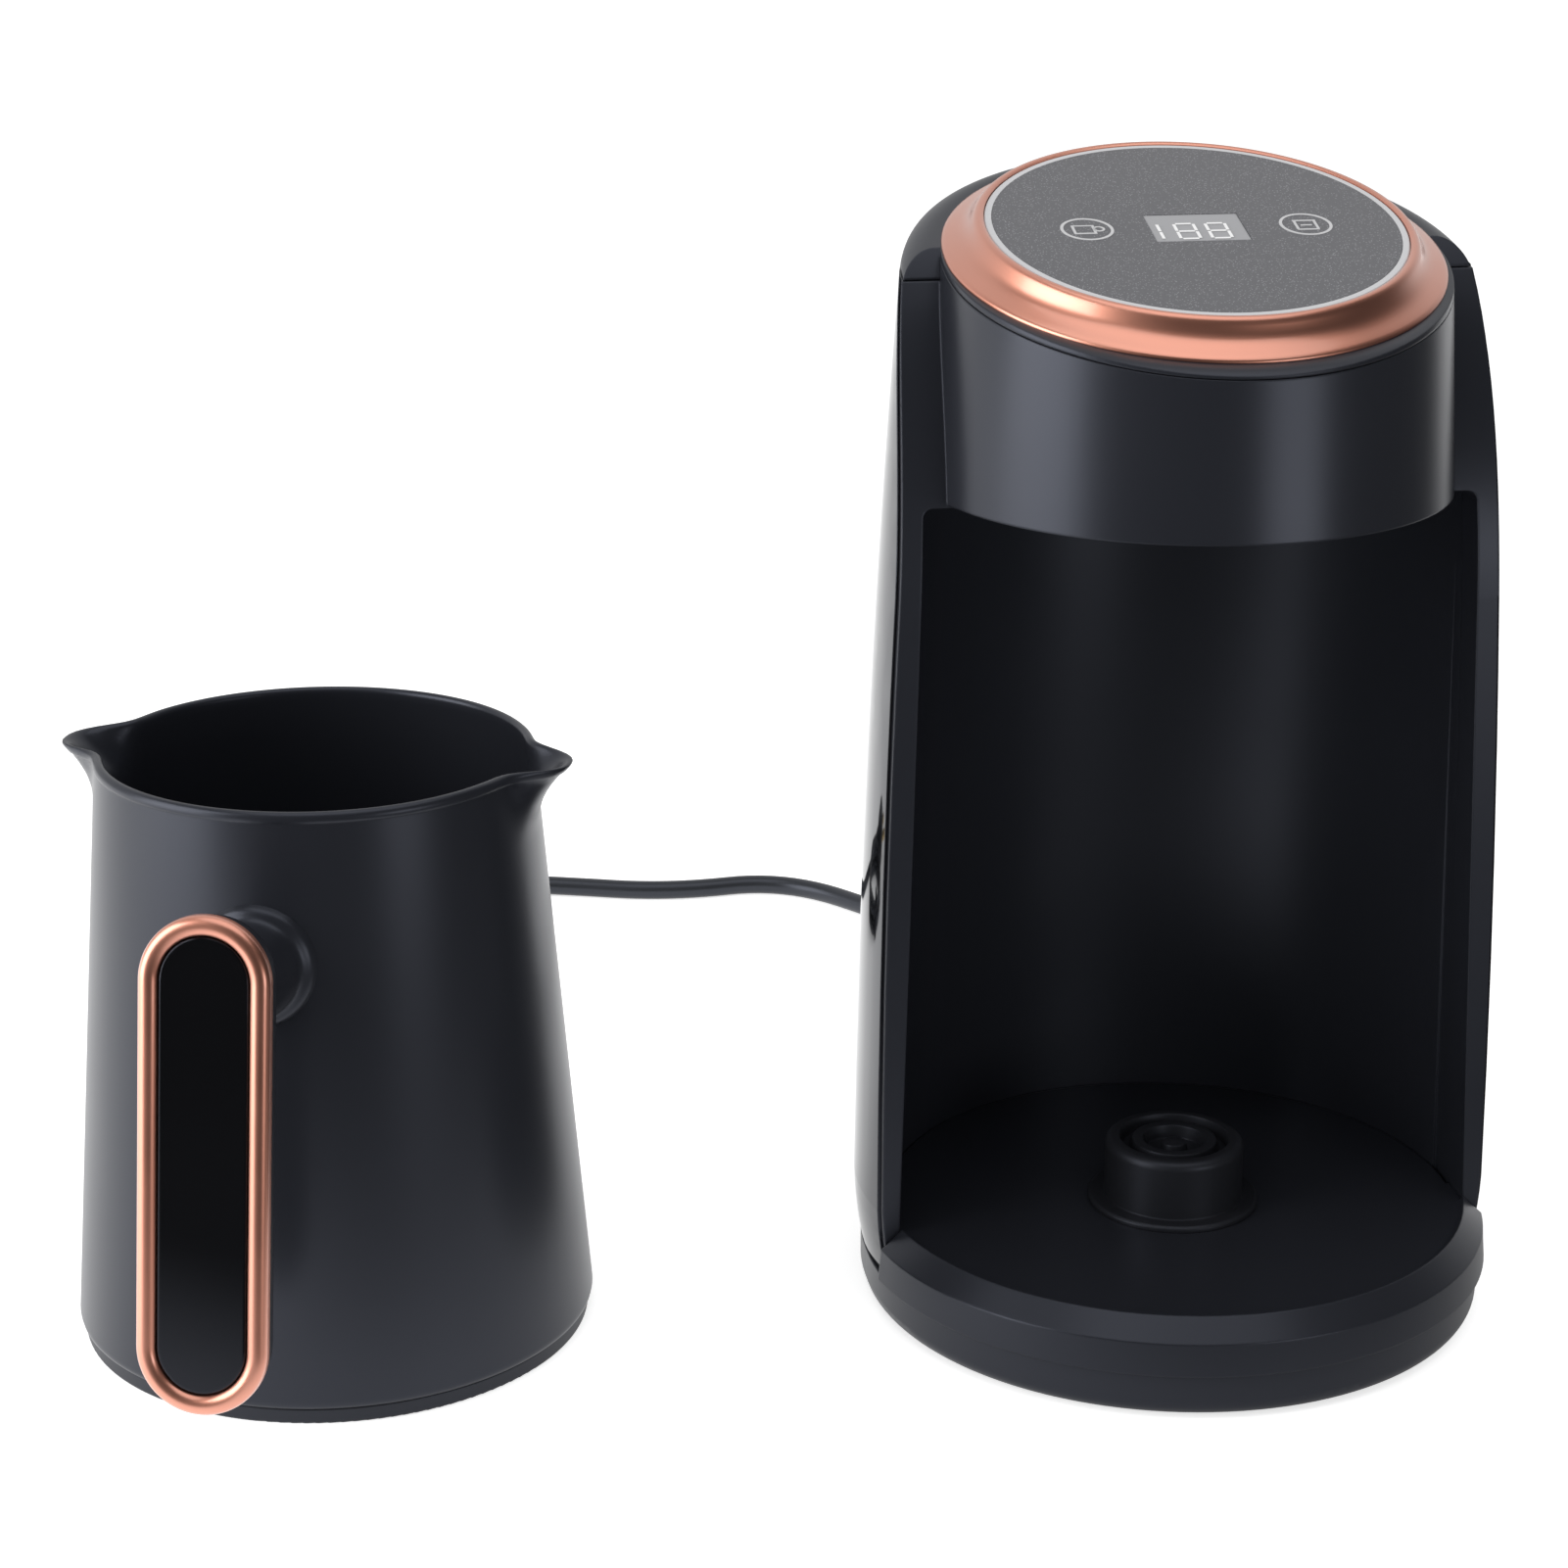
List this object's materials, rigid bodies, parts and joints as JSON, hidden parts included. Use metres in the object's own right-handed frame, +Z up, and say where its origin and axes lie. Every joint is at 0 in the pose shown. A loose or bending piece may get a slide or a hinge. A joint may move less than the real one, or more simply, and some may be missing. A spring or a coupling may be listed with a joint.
{
  "type": "milk frother",
  "caption": "Electric hot-milk and coffee maker: dock unit with a tilted touch panel head, and a tapered cordless heated jug with two spouts and a paddle handle parked beside it.",
  "frame": {"origin": "on the table under the axis of the dock's round connector", "axes": "+X to the right seen from the front, +Y to the back, +Z up"},
  "size_m": [0.3642, 0.4315, 0.2891],
  "materials": {
    "matte_blue_black": "fine matte moulded plastic, blue-black",
    "gloss_black": "high-gloss black plastic",
    "satin_black": "satin black plastic",
    "rose_gold": "satin rose-gold metallic coat",
    "light_grey": "light grey plastic",
    "panel_grey": "dark grey panel with a fine speckle",
    "display_grey": "smoked display window",
    "rubber": "matte black rubber",
    "steel": "plain steel",
    "brass": "plain brass",
    "circuit_board": "green circuit board",
    "inner_plastic": "dark moulded component case",
    "cord_grey": "dark grey flexible jacket",
    "tie_black": "black plastic tie"
  },
  "bodies": {
    "dock": {"front_frame": "matte_blue_black", "rear_shell": "gloss_black", "top_cover": "matte_blue_black", "trim_ring": "rose_gold", "panel_bezel": "light_grey", "touch_panel": "panel_grey", "display_window": "display_grey", "control_board": "circuit_board", "board_screws": "steel", "display_module": "inner_plastic", "touch_springs": "steel", "buzzer": "inner_plastic", "base_tray": "matte_blue_black", "bottom_cover": "matte_blue_black", "rubber_feet": "rubber", "base_screws": "steel", "connector_boss": "satin_black", "connector_tabs": "brass", "power_board": "circuit_board", "relay": "inner_plastic", "transformer": "inner_plastic", "supply_capacitor": "inner_plastic", "wire_harness": "cord_grey", "cord_bush": "cord_grey", "mains_cord": "cord_grey", "cord_coil": "cord_grey", "coil_tie": "tie_black", "plug_body": "cord_grey", "plug_pins": "brass"},
    "jug": {"jug_shell": "matte_blue_black", "heater_seal": "rubber", "heater_plate": "steel", "heating_element": "steel", "temperature_sensor": "inner_plastic", "jug_socket": "satin_black", "socket_tabs": "brass", "jug_base": "satin_black", "jug_screws": "steel", "handle_grip": "matte_blue_black", "handle_frame": "rose_gold", "handle_inlay": "gloss_black"}
  },
  "joints": [
    {"name": "jug_lift", "type": "slide", "parent": "dock", "child": "jug", "axis": [0, 0, 1], "range_m": [0, 0.15]}
  ]
}
